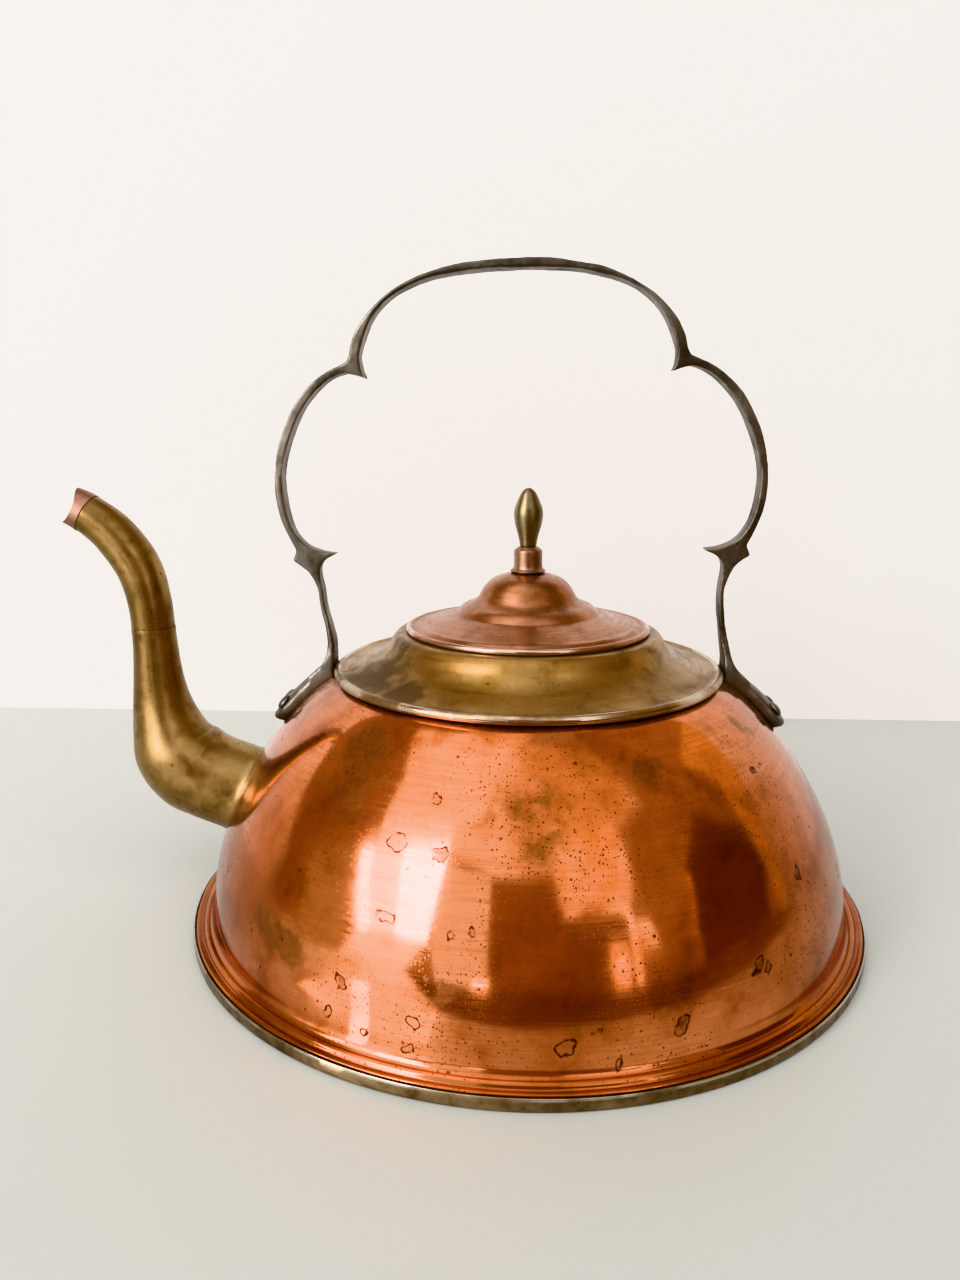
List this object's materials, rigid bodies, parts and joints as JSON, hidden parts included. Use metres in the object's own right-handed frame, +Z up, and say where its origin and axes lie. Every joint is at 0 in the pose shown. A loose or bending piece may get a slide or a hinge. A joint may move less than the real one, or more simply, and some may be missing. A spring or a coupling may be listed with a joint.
{
  "type": "kettle",
  "caption": "Domed copper kettle on a brass base with a brass shoulder collar, swan-neck spout, arched lobed handle and a stepped lift-off lid with a slim finial.",
  "frame": {"origin": "centre of the round flat underside of the base, on the surface the kettle stands on", "axes": "+Z up along the kettle's axis; the spout points along -X; the handle and the spout lie in the XZ plane"},
  "size_m": [0.2866, 0.2406, 0.2265],
  "materials": {
    "copper_body": "polished spun copper with brown tarnish, fine brush lines and small pits",
    "copper_lid": "satin spun copper, pinkish, lightly tarnished",
    "copper_tip": "dull pinkish brown copper",
    "brass_collar": "satin olive-gold brass with brown tarnish",
    "brass_spout": "aged antique-gold brass, half polished",
    "brass_base": "dull olive-brown brass with a pale worn edge",
    "brass_handle": "dark patinated cast brass with rubbed edges",
    "bronze_ferrule": "mauve-brown patinated metal with grey highlights",
    "brass_finial": "khaki-olive aged brass",
    "brass_fixings": "plain aged brass"
  },
  "bodies": {
    "kettle": {"base_pan": "brass_base", "body_shell": "copper_body", "shoulder_collar": "brass_collar", "spout_lower": "brass_spout", "spout_upper": "brass_spout", "spout_tip": "copper_tip", "handle": "brass_handle", "rivet_back_near": "brass_handle", "rivet_back_far": "brass_handle", "rivet_spout_near": "brass_handle", "rivet_spout_far": "brass_handle", "burr_back_near": "brass_fixings", "burr_back_far": "brass_fixings", "burr_spout_near": "brass_fixings", "burr_spout_far": "brass_fixings"},
    "lid": {"lid_shell": "copper_lid", "lid_sleeve": "copper_lid", "lid_ferrule": "bronze_ferrule", "finial": "brass_finial", "finial_washer": "brass_fixings", "finial_nut": "brass_fixings"}
  },
  "joints": [
    {"name": "lid_lift", "type": "slide", "parent": "kettle", "child": "lid", "axis": [0, 0, 1], "range_m": [0, 0.06]}
  ]
}
